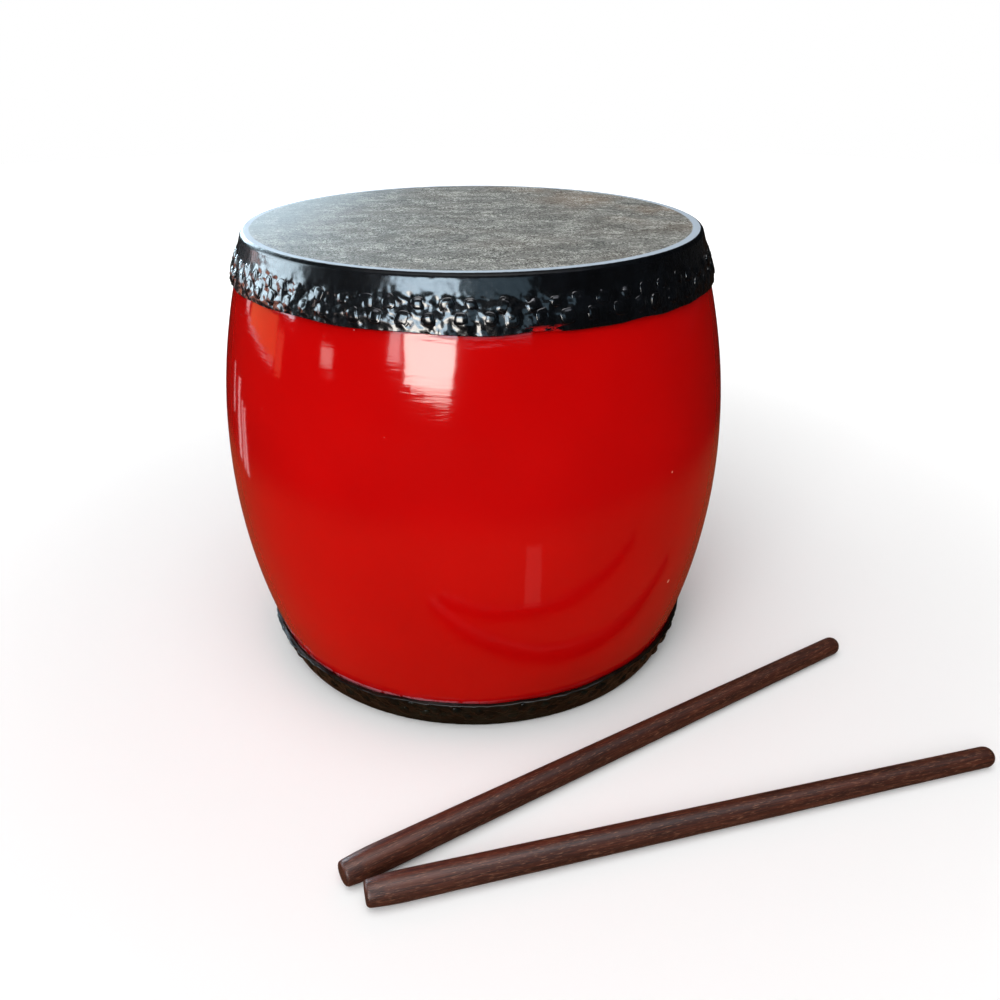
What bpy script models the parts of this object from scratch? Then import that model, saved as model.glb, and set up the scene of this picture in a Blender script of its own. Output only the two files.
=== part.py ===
"""Barrel drum: a shell of wooden staves, a pegged hide head at each end, and its pair of sticks.

Metres, +Z up. The origin is under the middle of the lower head, on the surface that the drum stands on.
The sticks lie on that surface in front of the drum, on its -Y side.
"""
import math

import bmesh
import bpy
from mathutils import Matrix, Vector

# The shell
HEIGHT = 0.3044
BELLY_RADIUS = 0.1758
END_RADIUS = 0.1490
STAVE_COUNT = 22
STAVE_THICKNESS = 0.0120
EDGE_ROUND = 0.0010

# The heads
HIDE_THICKNESS = 0.0022
HEM_BELOW_PEGS = 0.0075

# The pegs that hold the heads' skirts, square in section and tapering inwards. They are driven and
# glued into the staves, so each stave and its own pegs are one solid
PEGS_PER_STAVE = 3
TOP_RIM_ROW_DEPTH = 0.0155
BOTTOM_RIM_ROW_DEPTH = 0.0110
ROW_SPACING = 0.0070
PEG_HEAD_SIDE = 0.0060
PEG_TIP_SIDE = 0.0044
PEG_STANDS_OUT = 0.0015
PEG_BITE = 0.0060

# The sticks
STICK_LENGTH = 0.400
STICK_BUTT_RADIUS = 0.0084
STICK_TIP_RADIUS = 0.0065
BUTT_NARROWS = 0.0010
BUTT_NARROWS_OVER = 0.0220
BUTT_EDGE_ROUND = 0.0025

# Where the sticks lie
STICK_CLEAR_OF_BELLY = 0.0164
STICKS_APART_AT_BUTTS = 0.0011
BACK_STICK_HEADING = math.radians(32.1)
BACK_BUTT_REACH = 0.2063
STICKS_SPLAY = math.radians(16.7)
FRONT_BUTT_SETBACK = 0.0054

# Clearance between pieces that touch on the real drum
FIT_GAP = 0.0003

# How finely the round shapes are divided
FACETS_PER_STAVE = 2
BELLY_STEPS = 10
INSIDE_STEPS = 6
ROUND_STEPS = 3
STICK_SIDES = 16
WELD_WITHIN = 0.0001
SHARP_FROM = math.radians(25)

# Levels and angles that follow from the sizes
MIDDLE = HEIGHT / 2
SHELL_TOP = HEIGHT - HIDE_THICKNESS - FIT_GAP
HEM_PAST_RIM_ROW = ROW_SPACING + HEM_BELOW_PEGS
TOP_HEM_LEVEL = HEIGHT - TOP_RIM_ROW_DEPTH - HEM_PAST_RIM_ROW
BOTTOM_HEM_LEVEL = BOTTOM_RIM_ROW_DEPTH + HEM_PAST_RIM_ROW
STAVE_ANGLE = 2 * math.pi / STAVE_COUNT
JOINT_ANGLE = FIT_GAP / (END_RADIUS - STAVE_THICKNESS)
PEG_PITCH = STAVE_ANGLE / PEGS_PER_STAVE
HIDE_OUTSIDE = FIT_GAP + HIDE_THICKNESS
RIM_ROW_DEPTHS = {"top": TOP_RIM_ROW_DEPTH, "bottom": BOTTOM_RIM_ROW_DEPTH}


def stave_radius(level):
    """The staves' outer radius at a height: widest at the middle, narrowing evenly to both ends."""
    share = (level - MIDDLE) / (SHELL_TOP - MIDDLE)
    return BELLY_RADIUS - (BELLY_RADIUS - END_RADIUS) * share ** 2


# The shell runs straight from the upper hem's level to its end, and so does its mirror image below;
# the skirts lie on these straight parts, and LEAN is their angle from upright
LEAN = math.atan2(stave_radius(TOP_HEM_LEVEL) - END_RADIUS, SHELL_TOP - TOP_HEM_LEVEL)


def skirt_radius(level, offset):
    """The radius, at a height, of the line that runs offset outside the shell under the skirt."""
    return END_RADIUS + (offset + (SHELL_TOP - level) * math.sin(LEAN)) / math.cos(LEAN)


def rim_arc(offset):
    """Points (radius, height) round the shell's top outer edge, offset outside it, from the top down."""
    centre_radius = END_RADIUS - EDGE_ROUND * (1 - math.sin(LEAN)) / math.cos(LEAN)
    centre_level = SHELL_TOP - EDGE_ROUND
    reach = EDGE_ROUND + offset
    points = []
    for step in range(ROUND_STEPS + 1):
        angle = math.pi / 2 + (LEAN - math.pi / 2) * step / ROUND_STEPS
        points.append((centre_radius + reach * math.cos(angle), centre_level + reach * math.sin(angle)))
    return points


def even_levels(top, bottom, steps):
    """Heights from top to bottom in even steps, both ends included."""
    return [top + (bottom - top) * step / steps for step in range(steps + 1)]


def stave_outline():
    """The stave's section (radius, height): down its outer face, then up its inner face."""
    top_edge = rim_arc(0)
    belly_levels = even_levels(TOP_HEM_LEVEL, HEIGHT - TOP_HEM_LEVEL, BELLY_STEPS)
    belly = [(stave_radius(z), z) for z in belly_levels]
    bottom_hem = [(skirt_radius(HEIGHT - BOTTOM_HEM_LEVEL, 0), BOTTOM_HEM_LEVEL)]
    bottom_edge = [(radius, HEIGHT - level) for radius, level in reversed(top_edge)]
    inside_levels = even_levels(HEIGHT - SHELL_TOP, SHELL_TOP, INSIDE_STEPS)
    inside = [(stave_radius(z) - STAVE_THICKNESS, z) for z in inside_levels]
    return top_edge + belly + bottom_hem + bottom_edge + inside


def head_outline(rim_row_depth):
    """A head's section (radius, height), as on top: from the middle out and down, then back inside."""
    hem = HEIGHT - rim_row_depth - HEM_PAST_RIM_ROW
    outside = [(0, HEIGHT)] + rim_arc(HIDE_OUTSIDE) + [(skirt_radius(hem, HIDE_OUTSIDE), hem)]
    inside = [(0, SHELL_TOP + FIT_GAP)] + rim_arc(FIT_GAP) + [(skirt_radius(hem, FIT_GAP), hem)]
    return outside + list(reversed(inside))


def stick_outline():
    """A stick's section (radius, place along it): the domed tip at 0, then down to the flat butt."""
    quarter = [math.pi / 2 * step / ROUND_STEPS for step in range(ROUND_STEPS + 1)]
    tip = [(STICK_TIP_RADIUS * math.sin(a), STICK_TIP_RADIUS * (math.cos(a) - 1)) for a in quarter]
    handle = [(STICK_BUTT_RADIUS, BUTT_NARROWS_OVER - STICK_LENGTH)]
    flat_radius = STICK_BUTT_RADIUS - BUTT_NARROWS - BUTT_EDGE_ROUND
    edge_start = BUTT_EDGE_ROUND - STICK_LENGTH
    butt = [
        (flat_radius + BUTT_EDGE_ROUND * math.cos(a), edge_start - BUTT_EDGE_ROUND * math.sin(a))
        for a in quarter
    ]
    return tip + handle + butt + [(0, -STICK_LENGTH)]


def clear_scene():
    """Remove what the opened file holds."""
    for thing in list(bpy.data.objects):
        bpy.data.objects.remove(thing, do_unlink=True)


def make_collection(name):
    """A collection in the scene."""
    collection = bpy.data.collections.new(name)
    bpy.context.scene.collection.children.link(collection)
    return collection


def make_material(name, colour, roughness):
    """A finish: linear colour and roughness."""
    material = bpy.data.materials.new(name)
    material.use_nodes = True
    shader = material.node_tree.nodes["Principled BSDF"]
    shader.inputs["Base Color"].default_value = (*colour, 1.0)
    shader.inputs["Roughness"].default_value = roughness
    shader.inputs["Metallic"].default_value = 0.0
    return material


def make_object(name, mesh, collection):
    """An object in its collection."""
    thing = bpy.data.objects.new(name, mesh)
    collection.objects.link(thing)
    return thing


def dress(mesh, material, other, takes_other):
    """Two finishes on one piece: the faces that takes_other picks, by centre and normal, get the other."""
    mesh.materials.clear()
    mesh.materials.append(material)
    mesh.materials.append(other)
    for face in mesh.polygons:
        face.material_index = int(takes_other(face.center, face.normal))


def soften(mesh):
    """Smooth the round faces and keep the edges sharp."""
    mesh.shade_smooth()
    mesh.set_sharp_from_angle(angle=SHARP_FROM)


def turned_mesh(name, outline, sides, start_angle=0.0):
    """A closed shape turned about Z from a section that runs down its outer side."""
    mesh = bpy.data.meshes.new(name)
    across = Vector((math.cos(start_angle), math.sin(start_angle), 0))
    points = [across * radius + Vector((0, 0, level)) for radius, level in outline]
    mesh.from_pydata(points, [(i, i + 1) for i in range(len(points) - 1)], [])
    blank = make_object(name, mesh, guides)
    turn = blank.modifiers.new("Turn", "SCREW")
    turn.steps = sides
    turn.render_steps = sides
    turn.use_merge_vertices = True
    turn.merge_threshold = WELD_WITHIN
    return settle(blank)


def stave_blank():
    """One stave before it gets its pegs: its section swept through its share of the circle."""
    mesh = bpy.data.meshes.new("stave_blank")
    half = (STAVE_ANGLE - JOINT_ANGLE) / 2
    side = Vector((math.cos(-half), math.sin(-half), 0))
    shape = bmesh.new()
    corners = [shape.verts.new(side * radius + Vector((0, 0, level))) for radius, level in stave_outline()]
    section = shape.faces.new(corners)
    bmesh.ops.spin(
        shape, geom=[section, *section.edges, *section.verts], cent=(0, 0, 0), axis=(0, 0, 1),
        angle=2 * half, steps=FACETS_PER_STAVE, use_duplicate=False,
    )
    bmesh.ops.recalc_face_normals(shape, faces=shape.faces)
    shape.to_mesh(mesh)
    shape.free()
    return make_object("stave_blank", mesh, guides)


def settle(thing):
    """The object's mesh with its modifiers worked in; the object itself is removed."""
    bpy.context.view_layer.update()
    evaluated = thing.evaluated_get(bpy.context.evaluated_depsgraph_get())
    mesh = bpy.data.meshes.new_from_object(evaluated)
    mesh.name = thing.name
    bpy.data.objects.remove(thing)
    return mesh


def peg_angles(row, count):
    """Where the pegs of a row stand, from the first stave's first on; the rows are half a pitch apart."""
    shift = PEG_PITCH / 4 if row else -PEG_PITCH / 4
    return [(index - (PEGS_PER_STAVE - 1) / 2) * PEG_PITCH + shift for index in range(count)]


def peg_mesh(name, rim_row_depth, row, angles, clearance=0.0):
    """Tapered pegs of one row, as on top, square to the skirt; with a clearance, their holes."""
    level = HEIGHT - rim_row_depth - row * ROW_SPACING
    seat = Vector((skirt_radius(level, HIDE_OUTSIDE), 0, level))
    outward = Matrix.Rotation(math.pi / 2 - LEAN, 4, "Y")
    ends = {
        1: (PEG_HEAD_SIDE / 2 + clearance, PEG_STANDS_OUT + clearance),
        -1: (PEG_TIP_SIDE / 2 + clearance, -HIDE_OUTSIDE - PEG_BITE),
    }
    shape = bmesh.new()
    for angle in angles:
        peg = bmesh.ops.create_cube(shape, size=2)["verts"]
        for corner in peg:
            half_side, reach = ends[1 if corner.co.z > 0 else -1]
            corner.co = (corner.co.x * half_side, corner.co.y * half_side, reach)
        place = Matrix.Rotation(angle, 4, "Z") @ Matrix.Translation(seat) @ outward
        bmesh.ops.transform(shape, matrix=place, verts=peg)
    mesh = bpy.data.meshes.new(name)
    shape.to_mesh(mesh)
    shape.free()
    return mesh


def make_guide(name, mesh):
    """A hidden shape that pieces are joined to or cut with."""
    guide = make_object(name, mesh, guides)
    guide.hide_render = True
    guide.display_type = "WIRE"
    return guide


def combine(thing, operation, other):
    """Join the other shape to the piece, or cut it out of the piece."""
    step = thing.modifiers.new(other.name, "BOOLEAN")
    step.operation = operation
    step.solver = "EXACT"
    step.object = other


def upended(thing):
    """Turn a piece of the upper head over, onto the lower head's place."""
    thing.rotation_euler = (math.pi, 0, 0)
    thing.location = (0, 0, HEIGHT)


def steep(normal):
    """True where a face is nearer upright than level."""
    return abs(normal.z) < math.cos(math.radians(60))


def outside_between_hems(centre, normal):
    """True on the part of a stave's outer face that shows between the two heads' hems."""
    return normal.x > 0 and steep(normal) and BOTTOM_HEM_LEVEL < centre.z < TOP_HEM_LEVEL


def make_staves():
    """The shell: one stave gets its pegs for both heads, and stands in every place of the circle."""
    blank = stave_blank()
    for end, rim_row_depth in RIM_ROW_DEPTHS.items():
        for row in (0, 1):
            name = f"stave_{end}_pegs_{row}"
            pegs = make_guide(name, peg_mesh(name, rim_row_depth, row, peg_angles(row, PEGS_PER_STAVE)))
            if end == "bottom":
                upended(pegs)
            combine(blank, "UNION", pegs)
    stave = settle(blank)
    dress(stave, jackfruit_wood, red_lacquer, outside_between_hems)
    soften(stave)
    for index in range(STAVE_COUNT):
        thing = make_object(f"pegged_stave_{index + 1:02d}", stave, drum)
        thing.rotation_euler = (0, 0, index * STAVE_ANGLE)


def make_heads():
    """The two hides, facet for facet over the staves, each pierced for its two rows of pegs."""
    for end, rim_row_depth in RIM_ROW_DEPTHS.items():
        sides = STAVE_COUNT * FACETS_PER_STAVE
        turned = turned_mesh(f"{end}_head", head_outline(rim_row_depth), sides, STAVE_ANGLE / 2)
        blank = make_object(f"{end}_head_blank", turned, guides)
        for row in (0, 1):
            name = f"{end}_head_holes_{row}"
            angles = peg_angles(row, STAVE_COUNT * PEGS_PER_STAVE)
            holes = make_guide(name, peg_mesh(name, rim_row_depth, row, angles, FIT_GAP))
            combine(blank, "DIFFERENCE", holes)
        hide = settle(blank)
        dress(hide, buffalo_hide, black_paint, lambda centre, normal: steep(normal))
        soften(hide)
        head = make_object(f"{end}_head", hide, drum)
        if end == "bottom":
            upended(head)


def lay_stick(name, mesh, butt, heading):
    """Lay a stick on the surface, butt at a point of it, with a flat of its sides down."""
    flat = math.cos(math.pi / STICK_SIDES)
    narrowing = (STICK_BUTT_RADIUS - STICK_TIP_RADIUS) * flat
    tilt = math.atan(narrowing / (STICK_LENGTH - BUTT_NARROWS_OVER - STICK_TIP_RADIUS))
    along = Vector((math.cos(heading) * math.cos(tilt), math.sin(heading) * math.cos(tilt), -math.sin(tilt)))
    tip_height = STICK_TIP_RADIUS * (flat * math.cos(tilt) - math.sin(tilt))
    thing = make_object(name, mesh, drum)
    thing.rotation_euler = (0, math.pi / 2 + tilt, heading)
    thing.location = (butt.x + along.x * STICK_LENGTH, butt.y + along.y * STICK_LENGTH, tip_height)


def make_sticks():
    """The pair: the back stick passes the belly's front, the front one splays from beside its butt."""
    mesh = turned_mesh("stick", stick_outline(), STICK_SIDES, math.pi / STICK_SIDES)
    mesh.materials.append(rosewood)
    soften(mesh)
    along = Vector((math.cos(BACK_STICK_HEADING), math.sin(BACK_STICK_HEADING)))
    outward = Vector((along.y, -along.x))
    line = BELLY_RADIUS + STICK_CLEAR_OF_BELLY + STICK_BUTT_RADIUS
    back_butt = outward * line - along * BACK_BUTT_REACH
    front_butt = back_butt + along * FRONT_BUTT_SETBACK
    front_butt += outward * (2 * STICK_BUTT_RADIUS + STICKS_APART_AT_BUTTS)
    lay_stick("stick_back", mesh, back_butt, BACK_STICK_HEADING)
    lay_stick("stick_front", mesh, front_butt, BACK_STICK_HEADING - STICKS_SPLAY)


clear_scene()
drum = make_collection("barrel_drum")
guides = make_collection("guides")

red_lacquer = make_material("red_lacquer", (0.42, 0.008, 0.006), 0.12)
buffalo_hide = make_material("buffalo_hide", (0.10, 0.085, 0.08), 0.45)
jackfruit_wood = make_material("jackfruit_wood", (0.45, 0.25, 0.09), 0.55)
black_paint = make_material("black_paint", (0.01, 0.01, 0.012), 0.35)
rosewood = make_material("rosewood", (0.075, 0.022, 0.012), 0.35)

make_staves()
make_heads()
make_sticks()
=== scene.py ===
# %% [markdown]
# A barrel drum and its two sticks.
#
# The drum is a shell of wooden staves, glued edge to edge and lacquered red. A hide closes each end:
# it is drawn down over the edge while wet and held by two rows of square wooden pegs, and its skirt
# and the pegs are then painted black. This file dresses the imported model: the model says where each
# piece is and how big it is, and the cells below give the pieces their fine shape and finish.

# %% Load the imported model
import math

import bmesh
import bpy
import numpy as np
from mathutils import Matrix, Vector


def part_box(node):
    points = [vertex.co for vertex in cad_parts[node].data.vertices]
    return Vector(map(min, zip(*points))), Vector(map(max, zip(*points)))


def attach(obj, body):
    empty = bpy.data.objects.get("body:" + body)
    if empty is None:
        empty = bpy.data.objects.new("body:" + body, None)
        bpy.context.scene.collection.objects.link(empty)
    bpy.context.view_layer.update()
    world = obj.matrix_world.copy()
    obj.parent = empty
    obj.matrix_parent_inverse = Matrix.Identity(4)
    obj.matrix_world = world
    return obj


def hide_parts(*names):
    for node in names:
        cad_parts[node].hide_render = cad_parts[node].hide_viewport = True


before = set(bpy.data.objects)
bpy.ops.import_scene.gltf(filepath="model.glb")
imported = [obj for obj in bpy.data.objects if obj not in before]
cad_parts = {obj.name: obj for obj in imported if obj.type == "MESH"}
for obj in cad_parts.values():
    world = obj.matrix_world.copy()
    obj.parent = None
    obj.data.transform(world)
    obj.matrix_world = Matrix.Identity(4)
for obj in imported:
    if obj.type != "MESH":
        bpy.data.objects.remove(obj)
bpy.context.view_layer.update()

# %% [markdown]
# The sizes come first, in metres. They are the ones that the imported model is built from, so that a
# fine surface lies on the solid that it stands for. The height is read from the model itself.

# %% Sizes of the drum
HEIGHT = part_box("top_head")[1][2]
MIDDLE = HEIGHT / 2
BELLY_RADIUS = 0.1758
END_RADIUS = 0.1490
STAVES = 22
STAVE_THICKNESS = 0.0120
EDGE_ROUND = 0.0010
HIDE_THICKNESS = 0.0022
FIT_GAP = 0.0003
HEM_DEPTHS = {"top": 0.0300, "bottom": 0.0255}
PEG_ROW_DEPTHS = {"top": {"rim": 0.0155, "hem": 0.0225}, "bottom": {"rim": 0.0110, "hem": 0.0180}}
PEGS_PER_STAVE = 3
PEGS_IN_ROW = PEGS_PER_STAVE * STAVES
PEG_PITCH = 2 * math.pi / PEGS_IN_ROW

SHELL_TOP = HEIGHT - HIDE_THICKNESS - FIT_GAP
HEM_LEVEL = HEIGHT - HEM_DEPTHS["top"]


def belly_radius(level):
    """The shell's radius at a height: widest at the middle, narrowing evenly to both ends."""
    share = (level - MIDDLE) / (SHELL_TOP - MIDDLE)
    return BELLY_RADIUS - (BELLY_RADIUS - END_RADIUS) * share ** 2


LEAN = math.atan2(belly_radius(HEM_LEVEL) - END_RADIUS, SHELL_TOP - HEM_LEVEL)
print(f"height {HEIGHT * 1000:.1f} mm, the skirt leans {math.degrees(LEAN):.1f} degrees")

# %% [markdown]
# The camera stands where the photographer stood: in front, a little to the right of the drum's
# axis, above the head and looking down at it. A long list of points of the outline was fitted to
# find this place, so the picture has the photograph's perspective.

# %% Camera
CAMERA_PLACE = (0.0180, -0.6237, 0.4169)
LOOKS_DOWN = 27.42
FOCAL_PIXELS = 906.8
PICTURE_PIXELS = 1000
SENSOR_WIDTH = 36.0
NEAREST_SEEN = 0.01

camera_data = bpy.data.cameras.new("camera")
camera_data.sensor_width = SENSOR_WIDTH
camera_data.lens = FOCAL_PIXELS / PICTURE_PIXELS * SENSOR_WIDTH
camera_data.clip_start = NEAREST_SEEN
camera = bpy.data.objects.new("camera", camera_data)
camera.location = CAMERA_PLACE
camera.rotation_euler = (math.radians(90 - LOOKS_DOWN), 0, 0)
bpy.context.scene.collection.objects.link(camera)
bpy.context.scene.camera = camera
bpy.context.scene.view_settings.view_transform = "Standard"
print(f"camera: a lens of {camera_data.lens:.1f} mm, looking {LOOKS_DOWN} degrees down")

# %% [markdown]
# Materials are written as sums. A `Value` stands for an output of a node, and adding, multiplying
# or comparing values adds the Math nodes.

# %% Values in a material


class Value:
    """An output of a node; arithmetic on it adds Math nodes."""

    def __init__(self, finish, socket):
        self.finish = finish
        self.socket = socket

    def maths(self, operation, *values):
        return self.finish.node("ShaderNodeMath", {"operation": operation}, dict(enumerate(values)))

    def __add__(self, other):
        return self.maths("ADD", self, other)

    def __radd__(self, other):
        return self.maths("ADD", other, self)

    def __sub__(self, other):
        return self.maths("SUBTRACT", self, other)

    def __rsub__(self, other):
        return self.maths("SUBTRACT", other, self)

    def __mul__(self, other):
        return self.maths("MULTIPLY", self, other)

    def __rmul__(self, other):
        return self.maths("MULTIPLY", other, self)

    def __truediv__(self, other):
        return self.maths("DIVIDE", self, other)

    def __pow__(self, other):
        return self.maths("POWER", self, other)

    def __abs__(self):
        return self.maths("ABSOLUTE", self)

    def or_more(self, other):
        """The larger of the two values."""
        return self.maths("MAXIMUM", self, other)

    def rise(self, low, high):
        """0 below low, 1 above high, smooth between; with low above high it falls instead."""
        ends = {"Value": self, "From Min": low, "From Max": high}
        return self.finish.node("ShaderNodeMapRange", {"interpolation_type": "SMOOTHSTEP"}, ends)


# %% [markdown]
# A `Finish` is one material. Its `node` method places any node, the short methods below it place the
# patterns that the surfaces of this drum share, and `feed` links a result to the Principled shader.

# %% Finishes


class Finish:
    """A material with a Principled shader."""

    def __init__(self, name, **constants):
        self.material = bpy.data.materials.new(name)
        self.material.use_nodes = True
        self.tree = self.material.node_tree
        self.shader = self.tree.nodes["Principled BSDF"]
        self.normal = None
        for socket, constant in constants.items():
            self.shader.inputs[socket.replace("_", " ")].default_value = constant

    def node(self, kind, settings=None, sockets=None, output=0):
        """Place a node, set it, fill its sockets with values or links, and give one of its outputs."""
        made = self.tree.nodes.new(kind)
        for key, setting in (settings or {}).items():
            setattr(made, key, setting)
        for key, value in (sockets or {}).items():
            if isinstance(value, Value):
                self.tree.links.new(value.socket, made.inputs[key])
            else:
                made.inputs[key].default_value = value
        return Value(self, made.outputs[output])

    def place(self):
        """The point on the piece, in metres."""
        return self.node("ShaderNodeTexCoord", output="Object")

    def axes(self, place):
        """The three coordinates of a point."""
        split = self.node("ShaderNodeSeparateXYZ", None, {"Vector": place}).socket.node
        return [Value(self, output) for output in split.outputs]

    def moved(self, place, step):
        """The point moved by a step along each axis, so that the same noise gives another pattern."""
        return self.node("ShaderNodeVectorMath", {"operation": "ADD"}, {0: place, 1: (step, step, step)})

    def stretched(self, place, factors, turn=(0, 0, 0)):
        """The point with each direction scaled, after a turn, so that a pattern gets a direction."""
        sockets = {"Vector": place, "Rotation": turn}
        turned = self.node("ShaderNodeVectorRotate", {"rotation_type": "EULER_XYZ"}, sockets)
        return self.node("ShaderNodeVectorMath", {"operation": "MULTIPLY"}, {0: turned, 1: factors})

    def noise(self, place, size, detail=2.0, roughness=0.5, distortion=0.0):
        """Smooth noise from 0 to 1 with blotches of a size in metres."""
        sockets = {"Vector": place, "Scale": 1 / size, "Detail": detail, "Roughness": roughness}
        return self.node("ShaderNodeTexNoise", None, {**sockets, "Distortion": distortion})

    def cells(self, place, size):
        """How far the nearest of many scattered points is, 0 to about 1, with cells of a size in metres."""
        return self.node("ShaderNodeTexVoronoi", None, {"Vector": place, "Scale": 1 / size}, "Distance")

    def away_from(self, point):
        """How far the place that is shaded lies from a given point of the piece, in metres."""
        sockets = {0: self.place(), 1: point}
        return self.node("ShaderNodeVectorMath", {"operation": "DISTANCE"}, sockets, "Value")

    def blend(self, mask, first, second):
        """The first colour where the mask is 0 and the second where it is 1."""
        sockets = {0: mask}
        for key, colour in ((6, first), (7, second)):
            sockets[key] = colour if isinstance(colour, Value) else (*colour, 1.0)
        return self.node("ShaderNodeMix", {"data_type": "RGBA"}, sockets, 2)

    def bump(self, height, depth):
        """Add relief: a height from 0 to 1 that stands for a depth in metres."""
        sockets = {"Height": height, "Distance": depth, "Strength": 1.0}
        if self.normal:
            sockets["Normal"] = self.normal
        self.normal = self.node("ShaderNodeBump", None, sockets)

    def feed(self, **values):
        """Link what varies over the surface to the shader."""
        for socket, value in values.items():
            self.tree.links.new(value.socket, self.shader.inputs[socket.replace("_", " ")])
        if self.normal:
            self.tree.links.new(self.normal.socket, self.shader.inputs["Normal"])
        return self.material


def shade(red, green, blue):
    """A colour as an eye or a screen gives it, 0 to 255, turned into the linear values of a shader."""
    parts = np.array([red, green, blue]) / 255
    return tuple(np.where(parts > 0.04, ((parts + 0.055) / 1.055) ** 2.4, parts / 12.92).tolist())


# %% [markdown]
# The studio is plain: a pale floor and a white surround. The floor glows a little where it is seen,
# more with distance, so that it runs into the surround without an edge. The surround is bright where
# it is seen and dim as a lamp, or it would wash out the colours.

# %% Floor and surround
FLOOR_RADIUS = 3.2
FLOOR_MIDDLE = (0, 0, 0)
FLOOR_LEVEL = -0.0002
ROUND_SEGMENTS = 64
FLOOR_COLOUR = (0.92, 0.92, 0.92, 1.0)
FLOOR_FADES = (0.15, 1.2)
FLOOR_GLOW = 0.60
SURROUND_LIGHT = 0.18


def seen_ray(tree):
    """1 for rays that show the background: from the camera, or by way of gloss or glass."""
    path = tree.nodes.new("ShaderNodeLightPath")
    total = path.outputs["Is Camera Ray"]
    for ray in ("Is Glossy Ray", "Is Transmission Ray"):
        larger = tree.nodes.new("ShaderNodeMath")
        larger.operation = "MAXIMUM"
        tree.links.new(total, larger.inputs[0])
        tree.links.new(path.outputs[ray], larger.inputs[1])
        total = larger.outputs[0]
    return total


def disc(name):
    """A round sheet as wide as the floor."""
    mesh = bpy.data.meshes.new(name)
    shape = bmesh.new()
    bmesh.ops.create_circle(shape, cap_ends=True, radius=FLOOR_RADIUS, segments=ROUND_SEGMENTS)
    shape.to_mesh(mesh)
    shape.free()
    return mesh


floor = bpy.data.objects.new("floor", disc("floor"))
floor.location.z = FLOOR_LEVEL
bpy.context.scene.collection.objects.link(floor)
paper = {"Base_Color": FLOOR_COLOUR, "Roughness": 0.9, "Specular_IOR_Level": 0.1, "Emission_Strength": 1.0}
floor_finish = Finish("floor_paper", **paper)
seen = Value(floor_finish, seen_ray(floor_finish.tree))
level = seen * floor_finish.away_from(FLOOR_MIDDLE).rise(*FLOOR_FADES) * FLOOR_GLOW
glow = floor_finish.node("ShaderNodeCombineColor", None, {0: level, 1: level, 2: level})
floor.data.materials.append(floor_finish.feed(Emission_Color=glow))

world = bpy.data.worlds.new("surround")
world.use_nodes = True
bpy.context.scene.world = world
background = world.node_tree.nodes["Background"]
background.inputs["Color"].default_value = (1.0, 1.0, 1.0, 1.0)
strength = world.node_tree.nodes.new("ShaderNodeMapRange")
strength.inputs["To Min"].default_value = SURROUND_LIGHT
world.node_tree.links.new(seen_ray(world.node_tree), strength.inputs["Value"])
world.node_tree.links.new(strength.outputs["Result"], background.inputs["Strength"])
print(f"floor: {2 * FLOOR_RADIUS} m across, under a surround that gives {SURROUND_LIGHT} of full light")

# %% [markdown]
# What shapes a glossy drum is what its lacquer mirrors, and in the photograph that is a dim room with
# a few bright windows. So there are two kinds of lamp. A wide sun overhead and two softboxes light
# the paint, the hide and the wood, and the softboxes leave no mirror image. A window is the opposite:
# only gloss sees it.

# %% Lamps
AIM = Vector((0, 0, 0.2))
SUN_LIGHT = 0.56
SUN_SPREAD = 60
SUN_FROM = (-20, 74)
WINDOW_AWAY = 2.2
SOFTBOX_AWAY = 2.6


def towards(azimuth, elevation):
    """A direction: azimuth in degrees from the front, towards the right, and degrees of elevation."""
    turn, climb = math.radians(azimuth), math.radians(elevation)
    return Vector((math.sin(turn) * math.cos(climb), -math.cos(turn) * math.cos(climb), math.sin(climb)))


def window(name, left, right, low, high, brightness, colour, distance=WINDOW_AWAY):
    """A rectangular lamp that gloss mirrors; it fills the given angles as the drum sees it."""
    width = 2 * distance * math.tan(math.radians(right - left) / 2)
    height = 2 * distance * math.tan(math.radians(high - low) / 2)
    data = bpy.data.lights.new(name, "AREA")
    data.shape = "RECTANGLE"
    data.size = width
    data.size_y = height
    data.energy = brightness * math.pi * width * height
    data.color = colour
    lamp = bpy.data.objects.new(name, data)
    away = towards((left + right) / 2, (low + high) / 2)
    lamp.location = AIM + away * distance
    lamp.rotation_euler = away.to_track_quat("Z", "Y").to_euler()
    lamp.visible_camera = False
    lamp.visible_diffuse = False
    bpy.context.scene.collection.objects.link(lamp)


def softbox(name, azimuth, elevation, side, light):
    """A broad soft lamp with no mirror image; light is what it gives a surface that faces it."""
    data = bpy.data.lights.new(name, "AREA")
    data.size = side
    data.energy = light * math.pi * math.pi * SOFTBOX_AWAY ** 2
    lamp = bpy.data.objects.new(name, data)
    away = towards(azimuth, elevation)
    lamp.location = AIM + away * SOFTBOX_AWAY
    lamp.rotation_euler = away.to_track_quat("Z", "Y").to_euler()
    lamp.visible_camera = False
    lamp.visible_glossy = False
    bpy.context.scene.collection.objects.link(lamp)


overhead_data = bpy.data.lights.new("overhead", "SUN")
overhead_data.energy = SUN_LIGHT * math.pi
overhead_data.angle = math.radians(SUN_SPREAD)
overhead = bpy.data.objects.new("overhead", overhead_data)
overhead.rotation_euler = towards(*SUN_FROM).to_track_quat("Z", "Y").to_euler()
bpy.context.scene.collection.objects.link(overhead)

softbox("key", -16, 30, 1.5, 0.46)
softbox("left_fill", -100, 25, 1.2, 0.04)
print(f"overhead: {SUN_LIGHT} of full light, {SUN_SPREAD} degrees wide")

# %% [markdown]
# The windows, one by one. Each is placed by its sides and its top and bottom in degrees, as seen from
# the drum: sideways from the front towards the right, and upwards from level.

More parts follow.
